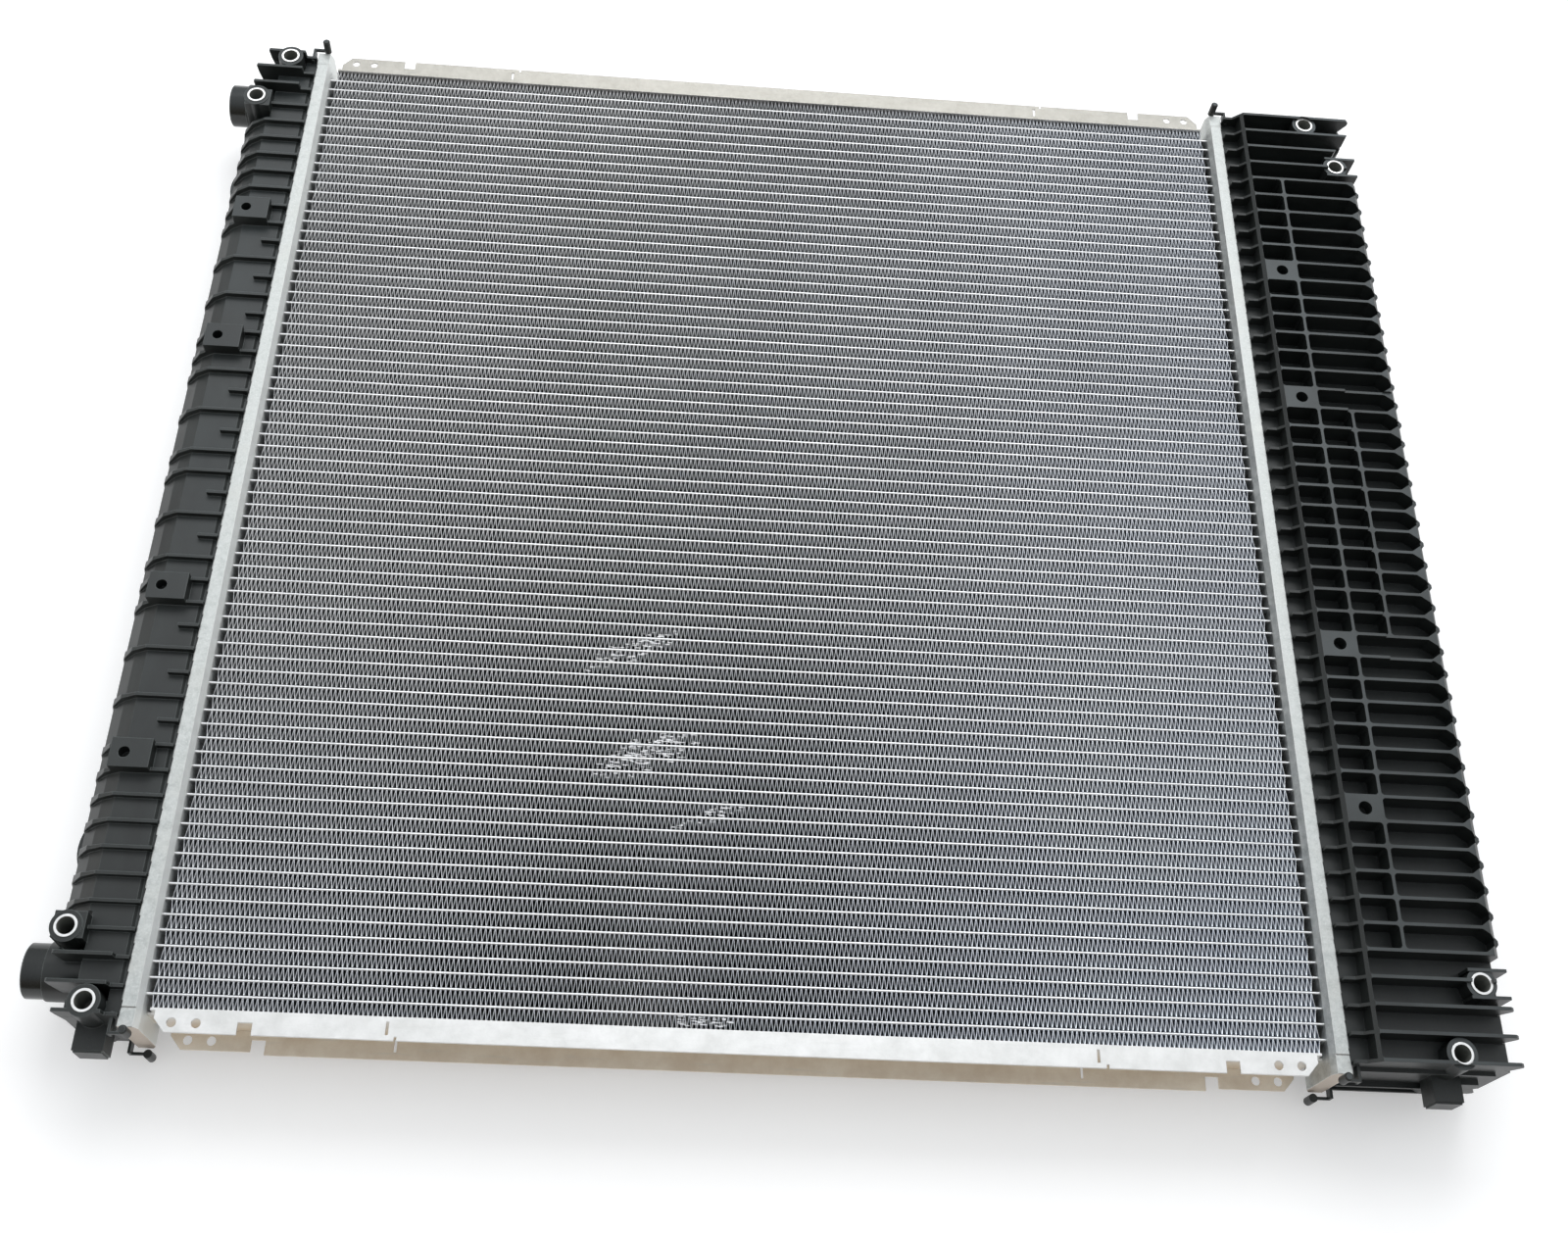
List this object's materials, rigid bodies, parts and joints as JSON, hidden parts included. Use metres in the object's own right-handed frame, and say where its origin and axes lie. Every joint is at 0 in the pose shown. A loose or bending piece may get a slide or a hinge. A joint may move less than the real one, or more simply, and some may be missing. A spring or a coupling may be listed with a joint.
{
  "type": "cross-flow truck radiator",
  "caption": "Cross-flow vehicle radiator: finned aluminium tube core between ribbed black plastic side tanks, crimped headers, side channels, hose necks, mounting sleeves and a drain plug.",
  "frame": {"origin": "centre of the outline at the height of the plane it rests on when lying on its rear face", "axes": "+X from the narrow hose-side tank to the wide tank, +Y to the top of the vehicle, +Z out of the front face of the core"},
  "size_m": [1.1806, 1.0212, 0.116],
  "materials": {
    "fin_aluminium": "thin rolled fin stock, bright",
    "tube_aluminium": "brazed, satin",
    "header_aluminium": "pressed sheet, satin with brazing haze",
    "black_nylon": "glass-filled nylon, satin",
    "black_rubber": "matt",
    "sleeve_steel": "zinc plated",
    "plug_plastic": "moulded, satin"
  },
  "bodies": {
    "radiator": {"tubes_upper_pass": "tube_aluminium", "tube_dead_row": "tube_aluminium", "tubes_lower_pass": "tube_aluminium", "fins_upper_pass": "fin_aluminium", "fins_lower_pass": "fin_aluminium", "header_left": "header_aluminium", "header_right": "header_aluminium", "gasket_left": "black_rubber", "gasket_right": "black_rubber", "side_plate_upper": "header_aluminium", "side_plate_lower": "header_aluminium", "tank_left": "black_nylon", "tank_right": "black_nylon", "pass_baffle": "black_nylon", "baffle_seal": "black_rubber", "outer_sleeves_left": "sleeve_steel", "end_sleeves_left": "sleeve_steel", "outer_sleeves_right": "sleeve_steel", "end_sleeves_right": "sleeve_steel"},
    "drain_seal_ring": {"drain_seal": "black_rubber"},
    "drain_plug_body": {"drain_plug": "plug_plastic"}
  },
  "joints": [
    {"name": "drain_travel", "type": "slide", "parent": "radiator", "child": "drain_seal_ring", "axis": [0, 0, -1], "range_m": [0, 0.004]},
    {"name": "drain_turn", "type": "hinge", "parent": "drain_seal_ring", "child": "drain_plug_body", "pos_m": [-0.52925, -0.40065, 0.018], "axis": [0, 0, -1], "range_deg": [0, 360]}
  ],
  "couplings": [
    {"joint": "drain_turn", "follows": "drain_travel", "rad_per_m": 1570.8}
  ]
}
